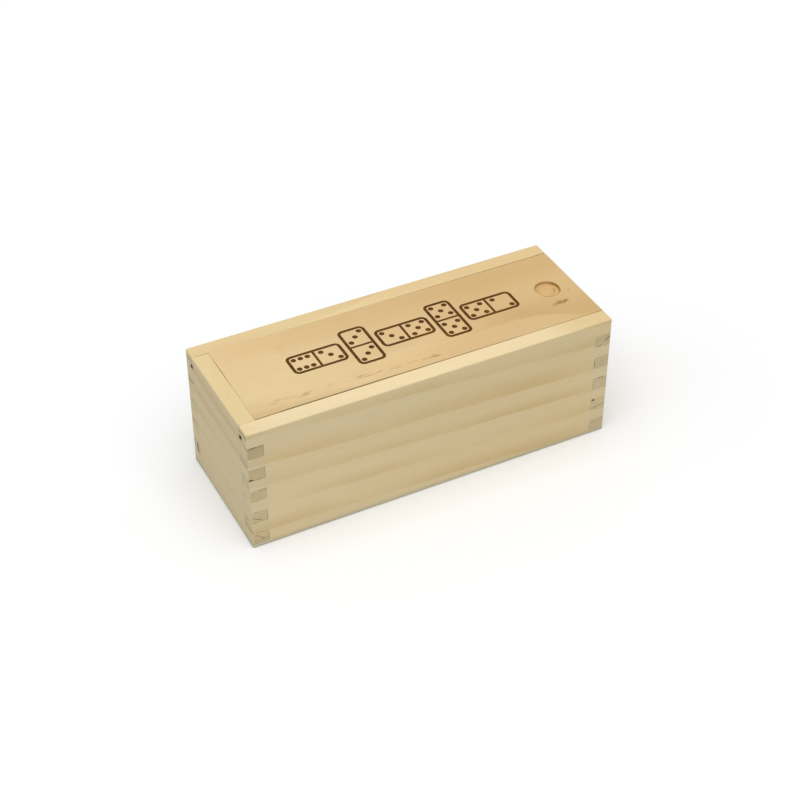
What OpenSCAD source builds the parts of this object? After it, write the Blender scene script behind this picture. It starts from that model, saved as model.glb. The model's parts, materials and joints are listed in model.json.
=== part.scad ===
// Finger-jointed pine box for a set of dominoes, with a sliding lid.
// The length runs along X, and the lid slides out towards +X. The origin is at
// the centre of the underside, and +Z is up. All sizes are in millimetres.

/* [Box] */
// Outside length, along the lid's travel
box_l = 163; // [130:1:220]
// Outside width, across the lid's travel
box_w = 61; // [45:1:100]
// Outside height, to the top of the rails and the lid
box_h = 58.5; // [40:0.5:90]
// Thickness of the two side boards and the two end boards
board_t = 7; // [6:0.5:10]
// Sanded chamfer on the outside edges
arris = 0.4; // [0.1:0.1:0.8]

/* [Finger joints] */
// Height of one finger, and of the gap between two fingers
finger_h = 5.5; // [4:0.5:8]
// Least height of the side boards' bottom finger
bottom_finger_h = 2; // [1:0.5:4]

/* [Lid] */
// Thickness of the lid
lid_t = 6.5; // [5:0.5:9]
// Height of the groove that holds the lid's tongue
lid_groove_h = 2.5; // [2:0.5:4]
// Depth of that groove into the boards
lid_groove_d = 2.5; // [2:0.5:4]
// Wood under the lid's groove in the side boards' top finger
groove_lip = 0.5; // [0.3:0.1:1.5]
// Running gap above and below the lid's tongue
slide_gap = 0.15; // [0.1:0.05:0.3]
// Gap beside the lid, along the rails and at the left end
edge_gap = 0.3; // [0.2:0.05:0.5]

/* [Thumb recess] */
// Diameter of the round recess
recess_d = 10.8; // [8:0.2:20]
// Depth of its flat floor
recess_depth = 1.4; // [0.5:0.1:3]
// Distance from the lid's right end to the recess's centre
recess_inset = 12.9; // [11:0.1:30]

/* [Bottom panel] */
// Thickness of the bottom panel
panel_t = 3; // [2:0.5:5]
// Height of the panel's underside above the table
panel_z = 3.5; // [2.5:0.5:8]
// Depth of the panel's groove into the boards
panel_groove_d = 3; // [2:0.5:4]
// Play of the panel in its groove, at each edge and above it
panel_play = 0.2; // [0.1:0.05:0.4]

/* [Hidden] */
// Length and width of the well, between the boards
well_l = box_l - 2 * board_t;
well_w = box_w - 2 * board_t;
// Floor of the lid's groove, which is also the top of the right end board
groove_z = box_h - lid_t;
// Top of the end boards' highest finger
first_finger_z = groove_z - groove_lip;
// Each finger and the gap under it
finger_pitch = 2 * finger_h;
finger_count = 1 + floor((first_finger_z - finger_h - bottom_finger_h) / finger_pitch);
// How far a cut runs past a face that it leaves open
cut_past = 1;

// Rectangle with a chamfer at each corner, centred on X, from 0 to b on Y
module eased_rectangle(a, b) {
    polygon([
        [-a / 2 + arris, 0], [a / 2 - arris, 0],
        [a / 2, arris], [a / 2, b - arris],
        [a / 2 - arris, b], [-a / 2 + arris, b],
        [-a / 2, b - arris], [-a / 2, arris]
    ]);
}

// Outside form of the closed box, with every edge sanded
module eased_box() {
    intersection() {
        translate([0, -box_w / 2, 0])
            linear_extrude(box_h)
                eased_rectangle(box_l, box_w);
        rotate([90, 0, 0])
            linear_extrude(box_w, center = true)
                eased_rectangle(box_l, box_h);
        rotate([90, 0, 90])
            linear_extrude(box_l, center = true)
                eased_rectangle(box_w, box_h);
    }
}

// Block from its lowest to its highest corner
module block(low, high) {
    translate(low)
        cube(high - low);
}

// The end boards' fingers at the left end, right across the box
module left_fingers() {
    for (i = [0 : finger_count - 1]) {
        top = first_finger_z - i * finger_pitch;
        block([-box_l / 2, -box_w / 2, top - finger_h], [well_l / -2, box_w / 2, top]);
    }
}

// The same fingers at the right end
module right_fingers() {
    mirror([1, 0, 0])
        left_fingers();
}

// Space for the lid's tongue. It runs out at both ends of the side boards,
// and across the inner face of the left end board
module lid_groove() {
    half_w = well_w / 2 + lid_groove_d;
    block(
        [-well_l / 2 - lid_groove_d, -half_w, groove_z],
        [box_l / 2 + cut_past, half_w, groove_z + lid_groove_h]
    );
    for (side = [-1, 1])
        translate([0, side * (well_w + lid_groove_d) / 2, groove_z + lid_groove_h / 2])
            cube([box_l + 2 * cut_past, lid_groove_d, lid_groove_h], center = true);
}

// Space for the bottom panel, one panel's outline wide, so that it doesn't show
// on the outside of the box
module panel_groove() {
    half_l = well_l / 2 + panel_groove_d;
    half_w = well_w / 2 + panel_groove_d;
    block([-half_l, -half_w, panel_z], [half_l, half_w, panel_z + panel_t + panel_play]);
}

// Side board at the front: full height, cut away at both ends for the fingers
module side_board() {
    difference() {
        intersection() {
            block([-box_l / 2, -box_w / 2, 0], [box_l / 2, -well_w / 2, box_h]);
            eased_box();
        }
        left_fingers();
        right_fingers();
        lid_groove();
        panel_groove();
    }
}

module front_side() {
    color([0.87, 0.78, 0.61])
        side_board();
}

module back_side() {
    color([0.89, 0.80, 0.63])
        mirror([0, 1, 0])
            side_board();
}

// Full-height end board, with a groove that holds the lid's left edge
module left_end() {
    color([0.82, 0.74, 0.58])
        difference() {
            intersection() {
                union() {
                    block([-box_l / 2, -well_w / 2, 0], [-well_l / 2, well_w / 2, box_h]);
                    left_fingers();
                }
                eased_box();
            }
            lid_groove();
            panel_groove();
        }
}

// Lower end board, over which the lid slides out
module right_end() {
    color([0.82, 0.74, 0.58])
        difference() {
            intersection() {
                union() {
                    block([well_l / 2, -well_w / 2, 0], [box_l / 2, well_w / 2, groove_z]);
                    right_fingers();
                }
                eased_box();
            }
            panel_groove();
        }
}

// Thin panel, which lies on the lower side of its groove
module bottom_panel() {
    half_l = well_l / 2 + panel_groove_d - panel_play;
    half_w = well_w / 2 + panel_groove_d - panel_play;
    color([0.80, 0.68, 0.50])
        block([-half_l, -half_w, panel_z], [half_l, half_w, panel_z + panel_t]);
}

// Board that fills the mouth of the box, with its tongue on three sides
module lid_board() {
    left = -well_l / 2 + edge_gap;
    half_w = well_w / 2 - edge_gap;
    underside = groove_z + slide_gap;
    block([left, -half_w, underside], [box_l / 2, half_w, box_h]);
    block(
        [left - lid_groove_d, -half_w - lid_groove_d, underside],
        [box_l / 2, half_w + lid_groove_d, groove_z + lid_groove_h - slide_gap]
    );
}

module sliding_lid() {
    color([0.88, 0.74, 0.52])
        difference() {
            intersection() {
                lid_board();
                eased_box();
            }
            translate([box_l / 2 - recess_inset, 0, box_h - recess_depth])
                cylinder(h = recess_depth + cut_past, d = recess_d, $fn = 96);
        }
}

front_side();
back_side();
left_end();
right_end();
bottom_panel();
sliding_lid();
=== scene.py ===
"""The looks of a finger-jointed pine box for dominoes, with a sliding lid.

The frame's lengths are in metres. The wood patterns are worked out in millimetres, on Object
coordinates, so that the rings and fibres of each board run through it as they do in real wood.
"""

import json
import math
import random

import bmesh
import bpy
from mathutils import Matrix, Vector, noise

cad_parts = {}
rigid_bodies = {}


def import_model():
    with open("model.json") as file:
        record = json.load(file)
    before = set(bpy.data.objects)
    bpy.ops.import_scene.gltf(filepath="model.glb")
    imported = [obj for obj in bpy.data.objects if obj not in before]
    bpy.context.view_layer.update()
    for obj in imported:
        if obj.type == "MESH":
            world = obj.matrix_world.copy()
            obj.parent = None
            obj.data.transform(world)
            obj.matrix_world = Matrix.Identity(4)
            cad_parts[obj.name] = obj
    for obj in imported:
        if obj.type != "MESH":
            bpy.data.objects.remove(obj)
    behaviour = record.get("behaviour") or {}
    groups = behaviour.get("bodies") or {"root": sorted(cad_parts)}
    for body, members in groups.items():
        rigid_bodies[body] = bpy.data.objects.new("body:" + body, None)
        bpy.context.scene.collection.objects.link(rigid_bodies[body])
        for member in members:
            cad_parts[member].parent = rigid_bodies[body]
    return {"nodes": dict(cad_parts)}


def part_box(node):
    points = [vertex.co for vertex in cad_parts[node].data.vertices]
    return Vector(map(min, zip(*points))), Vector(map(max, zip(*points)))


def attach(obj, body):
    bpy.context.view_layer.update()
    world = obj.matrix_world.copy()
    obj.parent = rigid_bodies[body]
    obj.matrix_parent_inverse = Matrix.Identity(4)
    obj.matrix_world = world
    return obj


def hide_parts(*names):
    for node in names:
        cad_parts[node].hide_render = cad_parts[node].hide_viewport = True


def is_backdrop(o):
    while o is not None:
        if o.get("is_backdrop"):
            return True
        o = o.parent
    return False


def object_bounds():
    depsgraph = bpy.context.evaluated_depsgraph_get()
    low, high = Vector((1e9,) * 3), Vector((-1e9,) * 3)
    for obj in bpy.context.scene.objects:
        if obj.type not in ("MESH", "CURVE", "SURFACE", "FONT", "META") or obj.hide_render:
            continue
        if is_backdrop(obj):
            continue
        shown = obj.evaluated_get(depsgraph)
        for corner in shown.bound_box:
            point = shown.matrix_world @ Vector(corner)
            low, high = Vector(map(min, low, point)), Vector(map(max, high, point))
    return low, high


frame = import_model()
cad_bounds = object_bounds()

MM = 0.001
BOX = "box"
LID = "lid"


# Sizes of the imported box, in millimetres


def span(node):
    """Lowest and highest corner of a CAD node, in millimetres."""
    low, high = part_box(node)
    return Vector(low) / MM, Vector(high) / MM


box_low, box_high = Vector(cad_bounds[0]) / MM, Vector(cad_bounds[1]) / MM
BOARD_T = span("left_end")[1].x - box_low.x
# Half the length and width of the well between the boards
WELL_X, WELL_Y = box_high.x - BOARD_T, box_high.y - BOARD_T
LID_TOP = box_high.z


# Nodes


class Value:
    """A number, colour or vector that varies over a surface. Its maths adds Math nodes."""

    def __init__(self, graph, socket):
        self.graph = graph
        self.socket = socket

    def __add__(self, other):
        return self.graph.math("ADD", self, other)

    __radd__ = __add__

    def __sub__(self, other):
        return self.graph.math("SUBTRACT", self, other)

    def __rsub__(self, other):
        return self.graph.math("SUBTRACT", other, self)

    def __mul__(self, other):
        return self.graph.math("MULTIPLY", self, other)

    __rmul__ = __mul__

    def __truediv__(self, other):
        return self.graph.math("DIVIDE", self, other)

    def __abs__(self):
        return self.graph.math("ABSOLUTE", self)


class Graph:
    """Adds nodes to one node tree."""

    def __init__(self, tree):
        self.tree = tree

    def add(self, kind, settings=(), inputs=()):
        """A new node, with its settings made first, then its sockets set or linked."""
        node = self.tree.nodes.new(kind)
        for key, value in dict(settings).items():
            setattr(node, key, value)
        for key, value in dict(inputs).items():
            if isinstance(value, Value):
                self.tree.links.new(value.socket, node.inputs[key])
            else:
                node.inputs[key].default_value = value
        return node

    def value(self, node, output=0):
        """One of a node's outputs, ready for maths."""
        return Value(self, node.outputs[output])

    def math(self, operation, *terms, clamp=False):
        """A Math node on one, two or three terms."""
        settings = {"operation": operation, "use_clamp": clamp}
        return self.value(self.add("ShaderNodeMath", settings, enumerate(terms)))

    def split(self, vector):
        """The three parts of a vector."""
        node = self.add("ShaderNodeSeparateXYZ", inputs={0: vector})
        return [self.value(node, i) for i in range(3)]

    def join(self, *parts):
        """A vector of three parts."""
        return self.value(self.add("ShaderNodeCombineXYZ", inputs=enumerate(parts)))

    def step(self, value, start, end, low=0.0, high=1.0):
        """A smooth rise from low to high, as the value goes from start to end."""
        settings = {"interpolation_type": "SMOOTHSTEP"}
        inputs = {0: value, 1: start, 2: end, 3: low, 4: high}
        return self.value(self.add("ShaderNodeMapRange", settings, inputs))

    def noise(self, vector, detail=2.0, roughness=0.5):
        """Smooth noise from 0 to 1, one lump to each unit of the vector."""
        inputs = {"Vector": vector, "Scale": 1.0, "Detail": detail, "Roughness": roughness}
        return self.value(self.add("ShaderNodeTexNoise", {}, inputs))

    def blend(self, factor, a, b, mode="MIX"):
        """One colour laid over another."""
        settings = {"data_type": "RGBA", "blend_type": mode}
        return self.value(self.add("ShaderNodeMix", settings, {0: factor, 6: a, 7: b}), 2)


def square(value):
    return value * value


def srgb(red, green, blue):
    """A colour as it is seen, from 0 to 255, as the linear values that a shader takes."""
    linear = []
    for part in (red, green, blue):
        part /= 255
        linear.append(part / 12.92 if part <= 0.04045 else ((part + 0.055) / 1.055) ** 2.4)
    return (*linear, 1.0)


# Wood


class Pine:
    """Bare sanded pine, with growth rings round a pith that lies outside the board.

    grain is the axis that the fibres follow, 0 for X or 1 for Y. colours are the spring wood's
    and the late wood's, and end_tone tints the end grain. growth is how the rings lie, as the
    rings method takes it.
    """

    def __init__(self, name, grain, colours, seed, end_tone=(0.86, 0.87, 0.86), **growth):
        self.material = bpy.data.materials.new(name)
        self.material.use_nodes = True
        self.graph = g = Graph(self.material.node_tree)
        self.shader = self.material.node_tree.nodes["Principled BSDF"]
        coordinates = g.add("ShaderNodeTexCoord")
        scale = {0: g.value(coordinates, "Object"), "Scale": 1 / MM}
        place = g.add("ShaderNodeVectorMath", {"operation": "SCALE"}, scale)
        self.place = g.split(g.value(place))
        self.normal = g.split(g.value(coordinates, "Normal"))
        self.along = self.place[grain]
        self.across = self.place[1 - grain]
        self.up = self.place[2]
        self.seed = seed
        self.end_grain = g.step(abs(self.normal[grain]), 0.55, 0.8)
        self.rings(**growth)
        self.wood(*colours)
        self.cut_ends(end_tone)
        self.surface()

    def field(self, along, across, up, detail=2.0, roughness=0.5, offset=0.0):
        """Noise with its own scale along and across the grain, in lumps for each millimetre."""
        g = self.graph
        shift = self.seed * 7.3 + offset
        vector = g.join(self.along * along + shift, self.across * across + shift, self.up * up)
        return g.noise(vector, detail, roughness)

    def rings(self, pith, ring, phase, tilt=0.0, taper=0.0, wander=1.6, uneven=0.5):
        """Late wood of each growth ring, from 0 in the spring wood to 1 at the ring's edge.

        The pith's place is in millimetres across the grain, as (Y or X, Z), and ring is a year's
        width. tilt is how far the pith climbs along the grain, and taper how much wider the
        rings get. wander and uneven are how far they stray from even circles.
        """
        g = self.graph
        sway = self.field(0.011, 0.012, 0.012, 1.0) - 0.5
        swell = self.field(0.017, 0.03, 0.03, 1.0, offset=31.0) - 0.5
        across = self.across - pith[0] + sway * (2 * wander)
        up = self.up - pith[1] - self.along * tilt + swell * (2 * wander)
        radius = g.math("SQRT", square(across) + square(up))
        ripple = self.field(0.05, 0.35, 0.35, 3.0, 0.6, offset=5.0) - 0.5
        spell = g.noise(g.join(radius * 0.05, self.seed * 3.1, 0.0), 1.0) - 0.5
        width = self.along * (taper * ring) + ring
        turns = radius / width + ripple * 0.14 + spell * uneven - phase
        through = g.math("FRACT", turns)
        year = g.noise(g.join((turns - through) * 3.7, self.along * 0.014, self.seed * 1.7), 1.0)
        self.vigour = g.step(year, 0.34, 0.66, 0.12, 1.0)
        self.late = g.step(through, 0.28, 0.92) * (1 - g.step(through, 0.93, 0.99))
        self.line = g.step(through, 0.82, 0.93) * (1 - g.step(through, 0.94, 0.99))

    def wood(self, early, late):
        """Colour of the sanded wood, with its fibres, a cloudy tone and short resin canals."""
        g = self.graph
        wood = g.blend(self.late * self.vigour, early, late)
        self.fibre = fibre = self.field(0.045, 1.7, 1.7, 4.0, 0.62, offset=3.0)
        cloud = self.field(0.014, 0.05, 0.05, 2.0, offset=11.0) - 0.5
        blush = self.field(0.02, 0.08, 0.08, 1.0, offset=19.0) - 0.5
        tone = 1 + (fibre - 0.5) * 0.13 + cloud * 0.10
        tint = g.join(tone, tone - blush * 0.045, tone - blush * 0.08)
        wood = g.blend(1.0, wood, tint, "MULTIPLY")
        canal = g.step(self.field(0.22, 5.0, 5.0, 1.0, offset=23.0), 0.70, 0.76) * 0.30
        self.colour = g.blend(canal * (1 - self.end_grain), wood, srgb(168, 128, 78))

    def cut_ends(self, end_tone):
        """Darker end grain, blotched where it drank more, with the rings' edges showing."""
        g = self.graph
        pores = self.field(2.6, 2.6, 2.6, 3.0, 0.7, offset=2.0) - 0.5
        drunk = self.field(0.2, 0.13, 0.13, 2.0, 0.6, offset=43.0) - 0.5
        cut = pores * 0.16 + drunk * 0.20 - self.line * self.vigour * 0.26
        tones = [cut + tone for tone in end_tone]
        end = g.blend(1.0, self.colour, g.join(*tones), "MULTIPLY")
        self.colour = g.blend(self.end_grain, self.colour, end)

    def surface(self):
        """Dry sanded surface, with its fibres just raised."""
        g = self.graph
        grit = self.field(1.2, 6.0, 6.0, 2.0, offset=41.0)
        self.height = self.fibre * 0.6 + grit * 0.25 - self.late * 0.2
        self.roughness = 0.62 + (self.fibre - 0.5) * 0.18 + self.end_grain * 0.12
        self.shader.inputs["Specular IOR Level"].default_value = 0.10

    def stain(self, mask, colour):
        """Lays a colour over the wood where the mask is above 0."""
        self.colour = self.graph.blend(mask, self.colour, colour)

    def tint(self, mask, tone):
        """Darkens or tints the wood where the mask is above 0."""
        self.colour = self.graph.blend(mask, self.colour, (*tone, 1), "MULTIPLY")

    def finished(self):
        """The material, once everything that colours it has been added."""
        g = self.graph
        bump = {"Strength": 0.35, "Distance": 0.06 * MM, "Height": self.height}
        raised = g.value(g.add("ShaderNodeBump", {}, bump))
        links = {"Base Color": self.colour, "Roughness": self.roughness, "Normal": raised}
        for name, value in links.items():
            g.tree.links.new(value.socket, self.shader.inputs[name])
        return self.material


# The lid's grooves, in millimetres: their floor, which is also the right board's top, their roof,
# and how deep they are
GROOVE_Z = span("right_end")[1].z
GROOVE_TOP = GROOVE_Z + 2.5
GROOVE_D = 2.5
# The end boards' fingers, in millimetres: the lowest one's underside, the highest one's top, and
# one finger with its gap
FINGER_Z = 2.0
FINGER_TOP = GROOVE_Z - 0.5
FINGER_PITCH = 11.0
JOINT_DUST = srgb(120, 98, 62)
# Dust with painted shade, for the open ends of the lid's grooves and the gap beside the lid
GROOVE_DUST_AND_SHADE = srgb(74, 58, 34)


class BoxPine(Pine):
    """Pine of the glued box, with dust in its joints, and dust and painted shade in the open ends
    of its grooves.

    Its lower edge is darkened with painted contact shade, where it turns under and meets the
    table, up to a height in millimetres and in a tint that two keywords give.
    """

    def __init__(self, *board, contact_shade_top=3.0, contact_shade_tone=(0.79, 0.87, 0.95), **growth):
        super().__init__(*board, **growth)
        self.joint_lines()
        self.groove_ends()
        # Painted contact shade along the lower edge, where it turns under and meets the table
        self.tint(self.graph.step(self.up, 0.7, contact_shade_top, 1.0, 0.0), contact_shade_tone)

    def joint_lines(self):
        """Thin broken lines of dust, where one board's finger meets the other's.

        They are fainter on the right half of the box.
        """
        g = self.graph
        x, y, z = self.place
        past_x, past_y = abs(x) - WELL_X, abs(y) - WELL_Y
        in_end = g.math("GREATER_THAN", past_x, -0.2)
        in_side = g.math("GREATER_THAN", past_y, -0.2)
        below_top = g.math("LESS_THAN", z, FINGER_TOP + 0.3)
        turn = g.math("FRACT", (z - FINGER_Z) / FINGER_PITCH)
        finger = g.math("LESS_THAN", turn, 0.5) * below_top
        shelf = g.math("PINGPONG", z - FINGER_Z, FINGER_PITCH / 4)
        flat = self.hairline(shelf) * below_top * in_end * in_side
        front = self.hairline(past_x) * finger * in_side
        side = self.hairline(past_y) * (1 - finger) * in_end
        lines = g.math("MAXIMUM", g.math("MAXIMUM", flat, front), side)
        broken = g.step(self.field(0.21, 0.21, 0.21, 3.0, 0.6, offset=53.0), 0.42, 0.66, 0.0, 0.75)
        self.stain(lines * broken * g.step(x, 0.0, 10.0, 1.0, 0.45), JOINT_DUST)

    def hairline(self, distance):
        """1 on a joint, and 0 a quarter of a millimetre away from it."""
        return self.graph.step(abs(distance), 0.06, 0.24, 1.0, 0.0)

    def groove_ends(self):
        """Dust and painted shade in the left ends of the lid's grooves, where they run out."""
        g = self.graph
        x, y, z = self.place
        inward, outward = x - box_low.x, abs(y) - WELL_Y
        end = g.step(inward, 0.05, 0.5) * g.step(inward, 2.5, 6.5, 1.0, 0.0)
        high = g.step(z, GROOVE_Z - 0.3, GROOVE_Z)
        high = high * g.step(z, GROOVE_TOP, GROOVE_TOP + 0.2, 1.0, 0.0)
        wide = g.step(outward, -0.2, 0.0)
        wide = wide * g.step(outward, GROOVE_D, GROOVE_D + 0.2, 1.0, 0.0)
        # Painted shade, with dust, in the open groove ends
        self.stain(end * high * wide, GROOVE_DUST_AND_SHADE)


# Spring wood and late wood
FRONT_WOOD = srgb(232, 210, 165), srgb(221, 195, 144)
BACK_WOOD = srgb(219, 193, 145), srgb(210, 179, 126)
END_WOOD = srgb(220, 195, 148), srgb(210, 183, 134)
LID_WOOD = srgb(219, 192, 145), srgb(207, 177, 130)
PANEL_WOOD = srgb(214, 188, 145), srgb(199, 167, 118)
# Torn grain, darkened with painted shade of the tear-out hollows
TORN_SHADED_WOOD = srgb(150, 126, 84), srgb(118, 95, 58)


def front_pine():
    """The front board is palest at its left end."""
    growth = {"pith": (-22.0, 155.0), "ring": 11.7, "phase": 0.01, "tilt": -0.084}
    growth |= {"taper": -0.00029, "wander": 1.0, "end_tone": (0.84, 0.835, 0.82)}
    pine = BoxPine("front_board_pine", 0, FRONT_WOOD, 373, **growth)
    g, x, z = pine.graph, pine.along, pine.up
    pine.tint(g.step(x, -70.0, 70.0, 1.0, 0.0), (0.995, 1.0, 1.015))
    pine.tint(g.step(x, -70.0, 70.0), (0.965, 0.955, 0.93))
    pine.tint(g.step(z, 44.0, 50.0), (0.975, 0.985, 1.01))
    fingers = g.step(abs(x), 71.0, 77.0) * g.step(z, 50.0, 53.0, 1.0, 0.0)
    pine.tint(fingers, (0.96, 1.0, 1.07))
    return pine


def back_pine():
    """The back board is palest at its left end, with dust and painted shade on its inner wall in
    the gap beside the lid.
    """
    growth = {"pith": (60.0, 150.0), "ring": 10.3, "phase": 0.4, "tilt": 0.05}
    # The end grain's bluish tone is painted cool light from the left, where the board's ends show
    # on the box's left end, added to the fill lamp's
    growth |= {"end_tone": (0.87, 0.96, 1.07)}
    pine = BoxPine("back_board_pine", 0, BACK_WOOD, 2, **growth)
    g, x, z = pine.graph, pine.along, pine.up
    pine.tint(g.step(x, -50.0, 50.0, 1.0, 0.0), (1.01, 1.04, 1.085))
    pine.tint(g.step(x, -50.0, 50.0), (0.963, 0.948, 0.92))
    # Painted shade, with dust, on the inner wall above the groove, in the gap beside the lid,
    # deeper to the right
    inner = g.step(pine.normal[1], -0.7, -0.4, 1.0, 0.0)
    wall = inner * g.step(z, GROOVE_TOP - 0.1, GROOVE_TOP + 0.1)
    deep = g.step(z, LID_TOP - 0.5, LID_TOP - 0.1, 1.0, 0.0)
    pine.stain(wall * deep * g.step(x, -10.0, 60.0, 0.1, 0.6), GROOVE_DUST_AND_SHADE)
    return pine


def end_pine(name, seed, **growth):
    """Pine of an end board, with fingers that are palest near the table."""
    # The end boards' painted contact shade reaches higher up their lower edge
    growth |= {"end_tone": (0.875, 0.915, 0.965), "contact_shade_top": 5.5, "contact_shade_tone": (0.86, 0.92, 0.99)}
    pine = BoxPine(name, 1, END_WOOD, seed, **growth)
    low = pine.graph.step(pine.up, 4.0, 50.0, 1.0, 0.0)
    pine.tint(low * pine.end_grain, (1.10, 1.10, 1.12))
    return pine


def left_pine():
    """The left board's outer face is tinted cooler than its edges, as painted cool light from the
    left that adds to the fill lamp's.
    """
    growth = {"pith": (-90.0, 155.0), "ring": 9.5, "phase": 0.0, "tilt": 0.021}
    growth |= {"wander": 1.4, "uneven": 0.1}
    pine = end_pine("left_board_pine", 92, **growth)
    g, z = pine.graph, pine.up
    pine.tint(pine.end_grain * g.step(z, 20.0, 50.0), (0.92, 0.92, 0.92))
    pine.tint(g.step(z, 44.0, 50.0), (0.975, 0.975, 0.96))
    # Painted cool light from the left on the outer face
    face = g.step(pine.across, box_low.x + 0.1, box_low.x + 0.4, 1.0, 0.0)
    pine.tint(face, (0.95, 0.99, 1.08))
    return pine


def right_pine():
    """The right board's fingers are a little cooler than the left board's."""
    growth = {"pith": (96.0, -110.0), "ring": 8.9, "phase": 0.2, "tilt": -0.015}
    pine = end_pine("right_board_pine", 4, **growth)
    pine.tint(pine.end_grain, (1.0, 1.02, 1.06))
    return pine


# The thumb recess's centre and radius, in millimetres
RECESS = (68.6, 0.0)
RECESS_R = 5.4
# How far each of the cutter's marks is off the recess's centre along X, with twice that along Y,
# and its radius
CUTTER_MARKS = ((0.55, 3.0), (0.0, 3.3))
# Each dark spot's centre, half its length and width, and how dark it is
KNOTS = (
    (70.7, -10.8, 2.3, 1.15, 0.74),
    (68.4, -10.7, 1.5, 1.40, 0.66),
    (66.6, -10.9, 2.4, 1.35, 0.38),
    (76.4, -4.8, 0.9, 0.50, 0.45),
)


def lid_pine():
    """The lid's warmer pine, with its resin marks, its pin knots and its burned lines."""
    growth = {"pith": (15.0, -150.0), "ring": 3.5, "phase": 0.97, "tilt": 0.024}
    growth |= {"wander": 1.2, "uneven": 0.4}
    pine = Pine("lid_board_pine", 0, LID_WOOD, 139, **growth)
    g, x, y = pine.graph, pine.along, pine.across
    drift = (pine.field(0.02, 0.06, 0.06, offset=61.0) - 0.5) * 70
    warm = g.step(x + y * 0.6 + drift, -75.0, 70.0)
    pine.tint(warm, (0.871, 0.799, 0.708))
    pine.tint(g.step(y, -16.0, -11.0, 1.0, 0.0), (0.985, 0.97, 0.94))
    pine.tint(g.step(y, 4.0, 18.0), (0.965, 0.95, 0.91))
    resin_marks(pine)
    for knot in KNOTS:
        pin_knot(pine, *knot)
    away = g.math("SQRT", square(x - RECESS[0]) + square(y - RECESS[1]))
    thumb_recess(pine, away)
    gap_dust_and_shade(pine)
    burned_wood(pine, g.step(away, RECESS_R + 1, RECESS_R + 1.2))
    return pine


def resin_marks(pine):
    """A broken row of short dark resin marks along the lid's front, in wood of uneven tone."""
    g, x, y = pine.graph, pine.along, pine.across
    drift = (pine.field(0.02, 0.0, 0.0, 2.0, offset=71.0) - 0.5) * 5
    edge = y + 17.0 + (x + 70) * 0.035 + drift
    strip = g.step(edge, 1.0, 7.0, 1.0, 0.0) * g.step(edge, -3.4, -1.4)
    pine.stain(strip * g.step(x, -45.0, 20.0, 0.10, 0.0), srgb(233, 213, 170))
    front = g.step(edge, -4.0, -1.5, 1.0, 0.0) * g.step(x, 20.0, 50.0, 1.0, 0.0)
    pine.tint(front, (0.98, 1.0, 1.01))
    right = g.step(y, -19.0, -9.0, 1.0, 0.0) * g.step(x, 22.0, 46.0)
    pine.tint(right, (1.02, 1.06, 1.11))
    pine.tint(g.step(x - y, 84.0, 98.0), (0.945, 0.945, 0.89))
    near = g.step(abs(edge - 0.4), 0.3, 2.6, 1.0, 0.0) * g.step(x, 5.0, 30.0, 1.0, 0.0)
    dash = g.step(pine.field(0.16, 1.3, 1.3, 2.0, offset=83.0) + near * 0.16, 0.69, 0.77)
    pine.stain(dash * near * 0.55, srgb(140, 112, 64))


def pin_knot(pine, knot_x, knot_y, half_x, half_y, strength):
    """A small dark spot, drawn out along the grain."""
    g, x, y = pine.graph, pine.along, pine.across
    u = (x - knot_x) / half_x
    v = (y - knot_y - (x - knot_x) * 0.3) / half_y
    ragged = (pine.field(0.7, 1.3, 1.3, 3.0, 0.7) - 0.5) * 1.2
    reach = g.math("SQRT", square(u) + square(v)) + ragged
    top = g.step(pine.up, LID_TOP - 0.4, LID_TOP - 0.2)
    pine.stain(g.step(reach, 0.0, 1.35, strength, 0.0) * top, srgb(106, 86, 12))


def thumb_recess(pine, away):
    """The recess's wall, scorched by the cutter and darkened with painted shade that is deepest on
    its right side; its scorched rim; painted shade on the left part of its floor; and the cutter's
    marks on the floor.

    away is the distance from the recess's centre.
    """
    g = pine.graph
    u, v = pine.along - RECESS[0], pine.across - RECESS[1]
    outer = g.step(away, RECESS_R + 0.02, RECESS_R + 0.12, 1.0, 0.0)
    inner = g.step(away, RECESS_R - 0.5, RECESS_R - 0.15)
    upright = g.step(abs(pine.normal[2]), 0.5, 0.9, 1.0, 0.0)
    # Scorch and painted shade on the upright wall, deepest on the right side
    pine.stain(outer * inner * upright * g.step(u, 2.5, 5.0, 0.42, 0.76), srgb(146, 114, 30))
    bottom = g.step(pine.up, LID_TOP - 1.3, LID_TOP - 1.2, 1.0, 0.0)
    floor = bottom * g.step(away, RECESS_R - 0.1, RECESS_R, 1.0, 0.0)
    pine.tint(floor, (1.08, 1.05, 0.97))
    # Painted shade on the floor's left part, beside the wall
    pine.tint(floor * g.step(u, -4.6, -1.5, 1.0, 0.0), (0.84, 0.86, 0.76))
    rim = g.step(away, RECESS_R - 0.05, RECESS_R + 0.05)
    rim = rim * g.step(away, RECESS_R + 0.2, RECESS_R + 0.4, 1.0, 0.0)
    near = g.step(v, -3.4, -1.8, 1.0, 0.0) * g.step(u, 0.0, 4.0, 0.65, 0.95)
    pine.stain(rim * near, srgb(140, 100, 30))
    for shift, radius in CUTTER_MARKS:
        a, b = u - shift, v - shift * 2
        ring = abs(g.math("SQRT", square(a) + square(b)) - radius)
        near = g.step(b - a * 0.4, -2.2, -0.4, 1.0, 0.0)
        pine.stain(floor * near * g.step(ring, 0.06, 0.32, 0.55, 0.0), srgb(140, 98, 40))


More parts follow.
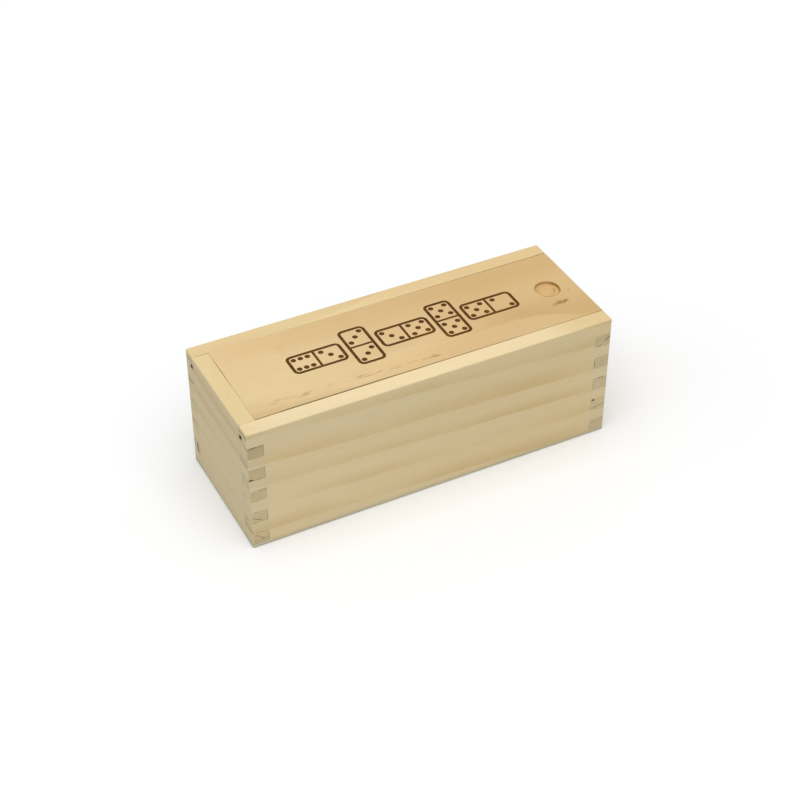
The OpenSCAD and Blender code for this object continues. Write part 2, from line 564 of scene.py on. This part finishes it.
def gap_dust_and_shade(pine):
    """Dust and painted shade along the upper arris of the lid's front and left edges, down in the
    gap.
    """
    g, x, y, z = pine.graph, pine.along, pine.across, pine.up
    deep = g.step(z, LID_TOP - 0.5, LID_TOP - 0.1, 1.0, 0.0)
    deep = deep * g.step(z, LID_TOP - 1.9, LID_TOP - 0.9)
    patchy = g.step(pine.field(0.1, 0.1, 0.0, 3.0, 0.7, offset=101.0), 0.3, 0.6, 0.7, 1.0)
    front = g.step(pine.normal[1], -0.7, -0.4, 1.0, 0.0) * g.step(y, -22.0, -21.0, 1.0, 0.0)
    front = front * g.step(x, -16.0, 50.0, 1.0, 0.25)
    left = g.step(pine.normal[0], -0.7, -0.4, 1.0, 0.0) * g.step(x, -72.0, -71.0, 1.0, 0.0)
    left = left * g.step(y, 0.0, 8.0) * g.step(y, 13.0, 16.0, 1.0, 0.0)
    # Painted shade, with dust, down in the gap round the lid
    pine.stain(deep * patchy * (front + left) * 0.85, srgb(80, 58, 26))


def burned_wood(pine, outside_recess):
    """Burned lines are as dark as they are deep, with ragged sides where fibres stood out."""
    g, z = pine.graph, pine.up
    depth = LID_TOP - z + (pine.fibre - 0.5) * 0.06
    burned = g.step(depth, 0.02, 0.15) * g.step(z, LID_TOP - 0.6, LID_TOP - 0.4)
    inland = g.step(abs(pine.across), 21.0, 21.2, 1.0, 0.0)
    inland = inland * g.step(abs(pine.along), 70.0, 70.2, 1.0, 0.0)
    streaks = pine.field(0.06, 1.6, 1.6, 3.0, 0.7, offset=91.0)
    char = g.blend(g.step(streaks, 0.3, 0.7), srgb(60, 26, 0), srgb(106, 66, 2))
    pine.stain(burned * outside_recess * inland * 0.98, char)


def panel_wood():
    """The floor panel's wood, cut close to the pith."""
    growth = {"pith": (9.0, -30.0), "ring": 4.0, "phase": 0.0, "tilt": 0.03}
    return Pine("panel_veneer", 0, PANEL_WOOD, 6, **growth)


# Boards

# Points of a mesh that lie closer than this, in millimetres, are one
MERGE = 0.002
# Width of the eased arrises, in millimetres
BOARD_EASE = 0.12
LID_EASE = 0.15


def joined_copy(node):
    """A CAD node's mesh with its loose triangles joined into whole faces."""
    mesh = bmesh.new()
    mesh.from_mesh(frame["nodes"][node].data)
    bmesh.ops.remove_doubles(mesh, verts=mesh.verts, dist=MERGE * MM)
    bmesh.ops.dissolve_limit(
        mesh, angle_limit=math.radians(1), verts=mesh.verts, edges=mesh.edges
    )
    return mesh


def ease_edges(mesh, width):
    """Rounds every arris a little, as sandpaper does."""
    sharp = [edge for edge in mesh.edges if edge.calc_face_angle(0) > math.radians(20)]
    bmesh.ops.bevel(
        mesh,
        geom=sharp,
        offset=width * MM,
        segments=2,
        profile=0.5,
        affect="EDGES",
        clamp_overlap=True,
    )


def placed(mesh, name, material):
    """An object at the origin that holds the mesh, with one material."""
    data = bpy.data.meshes.new(name)
    mesh.to_mesh(data)
    mesh.free()
    piece = bpy.data.objects.new(name, data)
    bpy.context.collection.objects.link(piece)
    data.materials.append(material)
    return piece


def settled(piece):
    """The piece, with what its modifiers make of it as its plain mesh."""
    depsgraph = bpy.context.evaluated_depsgraph_get()
    data = bpy.data.meshes.new_from_object(piece.evaluated_get(depsgraph))
    piece.modifiers.clear()
    piece.data = data
    return piece


def carve(piece, cutter):
    """Cuts the cutter's shape out of the piece. The cut faces keep the cutter's material."""
    cut = piece.modifiers.new("cut", "BOOLEAN")
    cut.operation = "DIFFERENCE"
    cut.solver = "EXACT"
    cut.use_self = True
    cut.material_mode = "TRANSFER"
    cut.object = cutter
    settled(piece)
    bpy.data.objects.remove(cutter)
    drop_slivers(piece)


def drop_slivers(piece):
    """Closes up the faces that a cut leaves too narrow to see."""
    mesh = bmesh.new()
    mesh.from_mesh(piece.data)
    bmesh.ops.dissolve_degenerate(mesh, dist=MERGE * MM, edges=mesh.edges)
    mesh.to_mesh(piece.data)
    mesh.free()


def dress(piece, node, body, slot):
    """Sets the piece in the place of its CAD node."""
    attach(piece, body)
    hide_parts(node)


# Shapes that Geometry Nodes repeat


class Repeater:
    """A Geometry Nodes tree that sets a shape on each point of a piece."""

    def __init__(self, name, sizes):
        self.tree = tree = bpy.data.node_groups.new(name, "GeometryNodeTree")
        tree.interface.new_socket("Geometry", in_out="INPUT", socket_type="NodeSocketGeometry")
        tree.interface.new_socket("Geometry", in_out="OUTPUT", socket_type="NodeSocketGeometry")
        self.ids = {}
        for size in sizes:
            socket = tree.interface.new_socket(
                size, in_out="INPUT", socket_type="NodeSocketFloat"
            )
            self.ids[size] = socket.identifier
        self.graph = Graph(tree)
        self.sizes = sizes
        source = self.graph.add("NodeGroupInput")
        self.points = self.graph.value(source, "Geometry")
        self.size = {size: self.graph.value(source, size) for size in sizes}

    def attribute(self, name):
        """A vector that the points carry."""
        g = self.graph
        settings = {"data_type": "FLOAT_VECTOR"}
        return g.value(g.add("GeometryNodeInputNamedAttribute", settings, {0: name}))

    def shapes(self, *parts):
        """Several shapes as one."""
        node = self.graph.add("GeometryNodeJoinGeometry")
        for part in parts:
            self.tree.links.new(part.socket, node.inputs[0])
        return self.graph.value(node)

    def finish(self, shape, material):
        """Sets the shape on the points, and ends the tree with the material."""
        self.material = material
        g = self.graph
        inputs = {
            "Points": self.points,
            "Instance": shape,
            "Rotation": self.attribute("turn"),
            "Scale": self.attribute("size"),
        }
        on_points = g.value(g.add("GeometryNodeInstanceOnPoints", {}, inputs))
        real = g.value(g.add("GeometryNodeRealizeInstances", {}, {0: on_points}))
        done = g.value(g.add("GeometryNodeSetMaterial", {}, {0: real, "Material": material}))
        self.tree.links.new(done.socket, g.add("NodeGroupOutput").inputs[0])

    def piece(self, name, rows):
        """A plain mesh of the shape on each row, which has a place, a size and a turn."""
        mesh = bpy.data.meshes.new(name)
        mesh.from_pydata([Vector(row[0]) * MM for row in rows], [], [])
        mesh.materials.append(self.material)
        for key, index, unit in (("size", 1, 1.0), ("turn", 2, math.radians(1))):
            values = mesh.attributes.new(key, "FLOAT_VECTOR", "POINT").data
            for value, row in zip(values, rows):
                value.vector = Vector(row[index]) * unit
        piece = bpy.data.objects.new(name, mesh)
        bpy.context.collection.objects.link(piece)
        modifier = piece.modifiers.new(name, "NODES")
        modifier.node_group = self.tree
        for size, value in self.sizes.items():
            modifier[self.ids[size]] = value * MM
        return settled(piece)


# Burned tiles on the lid: a short game of dominoes, laid out with its doubles crosswise

# Length and width of a burned tile, the gap to the next one, and the step from pip to pip
TILE_L, TILE_W = 24.0, 12.0
TILE_GAP = 1.6
PIP_PITCH = 3.05
# The middle of the row
MOTIF = (2.0, 0.5)
# Pips on the two halves of each tile
GAME = ((6, 3), (3, 3), (3, 5), (5, 5), (5, 2))
BURN_DEPTH = 0.25


def tile_layout():
    """Each tile's centre, its turn about Z, and the pips on its two halves."""
    widths = [TILE_W if first == second else TILE_L for first, second in GAME]
    x = MOTIF[0] - (sum(widths) + TILE_GAP * (len(GAME) - 1)) / 2
    for width, pips in zip(widths, GAME):
        turn = 90.0 if width == TILE_W else 0.0
        yield Vector((x + width / 2, MOTIF[1], LID_TOP)), turn, pips
        x += width + TILE_GAP


def pip_places(count):
    """Where the pips of one half lie, in steps along and across it, for 2 to 6 pips."""
    corners = [(-1, 1), (1, -1), (-1, -1), (1, 1)]
    middles = [(0, -1), (0, 1)] if count == 6 else []
    centre = [(0, 0)] if count % 2 else []
    return corners[: count // 2 * 2] + middles + centre


def burned_outlines(material):
    """Cutter for the tiles' outlines and dividing lines.

    The divider stops short of the outline's outer edge. Line and Divider are the widths at the
    wood's surface, and Slope is how much wider the lines are at their bottom.
    """
    sizes = {
        "Length": TILE_L,
        "Width": TILE_W,
        "Corner": 1.8,
        "Line": 1.35,
        "Divider": 1.1,
        "Slope": 0.16,
        "Depth": BURN_DEPTH,
    }
    repeater = Repeater("burned_outlines", sizes)
    g, size = repeater.graph, repeater.size
    inset = {"Width": size["Length"] - size["Line"], "Height": size["Width"] - size["Line"]}
    frame_line = g.value(g.add("GeometryNodeCurvePrimitiveQuadrilateral", {}, inset))
    fillet = {"Curve": frame_line, "Radius": size["Corner"], "Count": 6, "Limit Radius": True}
    rounded = g.value(g.add("GeometryNodeFilletCurve", {"mode": "POLY"}, fillet))
    outline = line_cut(g, rounded, size["Line"], size)
    reach = size["Width"] / 2 - size["Line"] * 0.6
    ends = {"Start": g.join(0.0, reach * -1, 0.0), "End": g.join(0.0, reach, 0.0)}
    stroke = g.value(g.add("GeometryNodeCurvePrimitiveLine", {}, ends))
    divider = line_cut(g, stroke, size["Divider"], size)
    repeater.finish(repeater.shapes(outline, divider), material)
    rows = [(centre, (1, 1, 1), (0, 0, turn)) for centre, turn, pips in tile_layout()]
    return repeater.piece("burned_outlines", rows)


def line_cut(g, path, width, size):
    """A line with leaning sides, which reaches from its depth to as far above the wood.

    The sweep sets the profile upside down, so that the Top Width is at the bottom.
    """
    inputs = {
        "Height": size["Depth"] * 2,
        "Bottom Width": width - size["Slope"],
        "Top Width": width + size["Slope"],
        "Offset": 0.0,
    }
    settings = {"mode": "TRAPEZOID"}
    profile = g.value(g.add("GeometryNodeCurvePrimitiveQuadrilateral", settings, inputs))
    upright = g.value(g.add("GeometryNodeSetCurveNormal", {"mode": "Z_UP"}, {0: path}))
    sweep = {"Curve": upright, "Profile Curve": profile, "Fill Caps": True}
    return g.value(g.add("GeometryNodeCurveToMesh", {}, sweep))


def burned_pips(material):
    """Cutter for the pips, which are as wide as Pip at the wood's surface.

    Slope is how much narrower they are at their bottom.
    """
    repeater = Repeater("burned_pips", {"Pip": 2.35, "Slope": 0.16, "Depth": BURN_DEPTH})
    g, size = repeater.graph, repeater.size
    cone = {
        "Vertices": 24,
        "Radius Top": (size["Pip"] + size["Slope"]) / 2,
        "Radius Bottom": (size["Pip"] - size["Slope"]) / 2,
        "Depth": size["Depth"] * 2,
    }
    pip = g.value(g.add("GeometryNodeMeshCone", {}, cone))
    low = g.join(0.0, 0.0, size["Depth"] * -1)
    sunk = g.value(g.add("GeometryNodeTransform", {}, {0: pip, "Translation": low}))
    repeater.finish(sunk, material)
    rows = []
    for centre, turn, pips in tile_layout():
        angle = math.radians(turn)
        along = Vector((math.cos(angle), math.sin(angle), 0))
        across = Vector((-math.sin(angle), math.cos(angle), 0))
        for side, count in zip((-1, 1), pips):
            middle = centre + along * (side * TILE_L / 4)
            for a, b in pip_places(count):
                place = middle + (along * a + across * b) * PIP_PITCH
                rows.append((place, (1, 1, 1), (0, 0, 0)))
    return repeater.piece("burned_pips", rows)


# Tear-outs at the finger joints

# Each one's board, middle and size in millimetres, and turn in degrees. Those of the two end
# boards show on the front of the box, and those of the back board on its left end
TEARS = (
    ("left_end", (-78.2, -30.5, 51.45), (5.2, 1.2, 0.40), (0, -4, 0)),
    ("left_end", (-79.7, -30.5, 46.05), (3.4, 1.2, 0.50), (0, 0, 0)),
    ("left_end", (-80.4, -30.5, 35.35), (2.1, 1.6, 1.30), (0, 14, 0)),
    ("left_end", (-78.9, -30.5, 14.7), (4.9, 0.8, 0.26), (0, 28, 0)),
    ("left_end", (-79.6, -30.5, 6.0), (2.8, 0.8, 0.24), (0, 20, 0)),
    ("left_end", (-77.2, -30.5, 4.3), (3.0, 0.8, 0.26), (0, 42, 0)),
    ("right_end", (79.9, -30.5, 49.1), (3.8, 1.2, 0.50), (0, -32, 0)),
    ("right_end", (76.3, -30.5, 46.6), (2.4, 0.7, 0.25), (0, -12, 0)),
    ("right_end", (75.4, -30.5, 18.0), (1.7, 0.8, 1.15), (0, 24, 0)),
    ("right_end", (78.0, -30.5, 29.4), (3.6, 0.8, 0.26), (0, -3, 0)),
    ("right_end", (74.5, -30.5, 37.2), (0.30, 0.9, 4.6), (0, 0, 0)),
    ("back_side", (-81.5, 25.9, 10.0), (1.8, 1.6, 5.0), (-12, 0, 0)),
    ("back_side", (-81.5, 29.6, 1.1), (1.6, 1.8, 1.0), (0, 0, 0)),
)


def chance_tears(node):
    """Small tear-outs along the other finger joints, the same ones at each run.

    The end boards' fingers get them at the back only, as TEARS has those at the front.
    """
    draw = random.Random(node)
    ends = node.endswith("_end")
    rows = []
    for side in (-1, 1):
        for step in range(10):
            z = FINGER_Z + step * FINGER_PITCH / 2
            along = draw.uniform(1.0, BOARD_T - 1.0)
            length = draw.uniform(0.7, 2.6)
            height = draw.uniform(0.2, 0.7)
            depth = draw.uniform(0.5, 1.1)
            tilt = draw.uniform(-12, 12)
            if draw.random() > 0.45 or (ends and side == -1):
                continue
            if ends:
                x = (box_high.x - along) * (-1 if node == "left_end" else 1)
                rows.append(((x, side * box_high.y, z), (length, depth, height), (0, tilt, 0)))
            else:
                y = (box_high.y - along) * (-1 if node == "front_side" else 1)
                rows.append(((side * box_high.x, y, z), (depth, length, height), (tilt, 0, 0)))
    return rows


def tear_outs(name, rows, material):
    """Cutter of ragged hollows. Each row has a place, a size and a turn."""
    repeater = Repeater("tear_outs", {"Ragged": 0.3})
    g = repeater.graph
    ball = g.value(g.add("GeometryNodeMeshIcoSphere", {}, {"Radius": 0.5 * MM, "Subdivisions": 3}))
    lumps = g.add("ShaderNodeTexNoise", {}, {"Scale": 2.2 / MM, "Detail": 2.0})
    centred = {0: g.value(lumps, "Color"), 1: (0.5, 0.5, 0.5)}
    shift = g.add("ShaderNodeVectorMath", {"operation": "SUBTRACT"}, centred)
    scale = {0: g.value(shift), "Scale": repeater.size["Ragged"]}
    offset = g.value(g.add("ShaderNodeVectorMath", {"operation": "SCALE"}, scale))
    rough = g.value(g.add("GeometryNodeSetPosition", {}, {0: ball, "Offset": offset}))
    repeater.finish(rough, material)
    return repeater.piece(name, rows)


def board(node, name, material, slot):
    """One board of the box, with its tear-outs if it has fingers."""
    mesh = joined_copy(node)
    ease_edges(mesh, BOARD_EASE)
    piece = placed(mesh, name, material)
    rows = [row[1:] for row in TEARS if row[0] == node]
    if slot != "panel_wood":
        rows += chance_tears(node)
        carve(piece, tear_outs(name + "_tears", rows, torn_shaded_grain()))
    dress(piece, node, BOX, slot)


def torn_shaded_grain():
    """Rough torn grain at the bottom of a tear-out, darker than the wood, with painted shade of
    the hollow in its colour.
    """
    material = bpy.data.materials.get("torn_shaded_grain")
    if not material:
        growth = {"pith": (0.0, -90.0), "ring": 3.0, "phase": 0.0}
        material = Pine("torn_shaded_grain", 0, TORN_SHADED_WOOD, 9, **growth).finished()
    return material


def make_boards():
    board("front_side", "front_board", front_pine().finished(), "side_pine")
    board("back_side", "back_board", back_pine().finished(), "side_pine")
    board("left_end", "left_board", left_pine().finished(), "end_pine")
    board("right_end", "right_board", right_pine().finished(), "end_pine")
    board("bottom_panel", "floor_panel", panel_wood().finished(), "panel_wood")


def fit_by_hand(mesh):
    """Lets the lid's gap vary, as it does round a lid that was sanded to fit.

    Cuts across the lid give its edges points to bend at. Only what stands above the tongue moves.
    """
    low, high = span("sliding_lid")
    edge_x, edge_y = low.x + GROOVE_D, high.y - GROOVE_D
    cuts = [((x, 0, 0), (1, 0, 0)) for x in range(-72, 80, 6)]
    cuts += [((0, y, 0), (0, 1, 0)) for y in range(-21, 22, 6)]
    for place, normal in cuts:
        everything = mesh.verts[:] + mesh.edges[:] + mesh.faces[:]
        bmesh.ops.bisect_plane(mesh, geom=everything, plane_co=Vector(place) * MM, plane_no=normal)
    for vert in mesh.verts:
        x, y, z = vert.co / MM
        if z < GROOVE_TOP - 0.05:
            continue
        ragged = noise.noise(Vector((x * 0.13, y * 0.13, 4.0))) * 0.10
        if abs(x - edge_x) < 0.1:
            worn = smooth(y, 0, 8) - smooth(y, 13, 17)
            vert.co.x -= (0.26 - 0.18 * worn + ragged * 0.3) * MM
        if abs(y + edge_y) < 0.1:
            worn = 0.20 * smooth(x, -16, -2) + 0.25 * smooth(x, 0, 60)
            worn += 0.24 * smooth(x, -62, -68)
            vert.co.y += (0.34 - worn + ragged) * MM
        if abs(y - edge_y) < 0.1:
            vert.co.y += (0.22 - 0.28 * smooth(x, -20, 60) + ragged * 0.5) * MM


def smooth(value, start, end):
    """A smooth rise from 0 to 1."""
    t = min(max((value - start) / (end - start), 0), 1)
    return t * t * (3 - 2 * t)


def make_lid():
    mesh = joined_copy("sliding_lid")
    fit_by_hand(mesh)
    ease_edges(mesh, LID_EASE)
    pine = lid_pine().finished()
    piece = placed(mesh, "lid_board", pine)
    carve(piece, burned_outlines(pine))
    carve(piece, burned_pips(pine))
    dress(piece, "sliding_lid", LID, "lid_pine")


# Studio

# Half the width of the white table top, in metres, and its colour as it is seen and as it
# lights the box
FLOOR_HALF = 6.0
FLOOR_SEEN = (0.88, 0.88, 0.88, 1)
FLOOR_BOUNCE = (0.5, 0.5, 0.5, 1)
# How bright the surroundings are as they light the box. They are seen as white
WORLD_LEVEL = 0.55
# Each lamp's name, strength, colour, spread in degrees, and the side that it shines from
LAMPS = (
    ("overhead", 1.85, (1.0, 1.0, 1.0), 70, (-0.12, -0.28, 1.0)),
    ("left_fill", 0.40, (0.66, 0.95, 1.25), 60, (-1.0, 0.1, 0.35)),
)
# The camera's place in millimetres, its turn and tilt in degrees, and its lens
CAMERA_PLACE = (-263.5, -514.6, 492.9)
CAMERA_TURN, CAMERA_TILT = -27.07, 39.05
CAMERA_LENS = 80.36


def seen_rays(graph):
    """1 for what is seen, straight, in a reflection or through glass, and 0 for other light."""
    path = graph.add("ShaderNodeLightPath")
    camera = graph.value(path, "Is Camera Ray")
    glossy = graph.value(path, "Is Glossy Ray")
    through = graph.value(path, "Is Transmission Ray")
    return graph.math("ADD", camera + glossy, through, clamp=True)


def make_floor():
    """White table top, far wider than the view."""
    mesh = bmesh.new()
    bmesh.ops.create_grid(mesh, x_segments=1, y_segments=1, size=FLOOR_HALF)
    material = bpy.data.materials.new("white_table")
    material.use_nodes = True
    g = Graph(material.node_tree)
    shader = material.node_tree.nodes["Principled BSDF"]
    colour = g.blend(seen_rays(g), FLOOR_BOUNCE, FLOOR_SEEN)
    g.tree.links.new(colour.socket, shader.inputs["Base Color"])
    shader.inputs["Roughness"].default_value = 0.9
    shader.inputs["Specular IOR Level"].default_value = 0.0
    placed(mesh, "table_top", material)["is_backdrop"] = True


def make_lights():
    """Soft daylight from all round, a broad lamp above and a cool fill from the left."""
    world = bpy.data.worlds.new("studio")
    bpy.context.scene.world = world
    world.use_nodes = True
    g = Graph(world.node_tree)
    level = seen_rays(g) * (1 - WORLD_LEVEL) + WORLD_LEVEL
    background = world.node_tree.nodes["Background"]
    g.tree.links.new(level.socket, background.inputs["Strength"])
    background.inputs["Color"].default_value = (1, 1, 1, 1)
    for name, strength, colour, spread, source in LAMPS:
        light = bpy.data.lights.new(name, "SUN")
        light.energy = strength
        light.color = colour
        light.angle = math.radians(spread)
        lamp = bpy.data.objects.new(name, light)
        lamp.rotation_mode = "QUATERNION"
        lamp.rotation_quaternion = Vector(source).to_track_quat("Z", "Y")
        bpy.context.collection.objects.link(lamp)


def make_camera():
    """The photograph's view: from the left front, looking down."""
    data = bpy.data.cameras.new("camera")
    data.lens = CAMERA_LENS
    data.sensor_width = 36
    data.clip_start, data.clip_end = 0.01, 20
    camera = bpy.data.objects.new("camera", data)
    camera.location = Vector(CAMERA_PLACE) * MM
    camera.rotation_euler = (math.radians(90 - CAMERA_TILT), 0, math.radians(CAMERA_TURN))
    bpy.context.collection.objects.link(camera)
    bpy.context.scene.camera = camera


make_camera()
make_boards()
make_lid()
make_floor()
make_lights()
bpy.context.scene.view_settings.view_transform = "Standard"

rows = {"cad": cad_bounds, "visual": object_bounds()}
{name: [list(corner) for corner in pair] for name, pair in rows.items()}
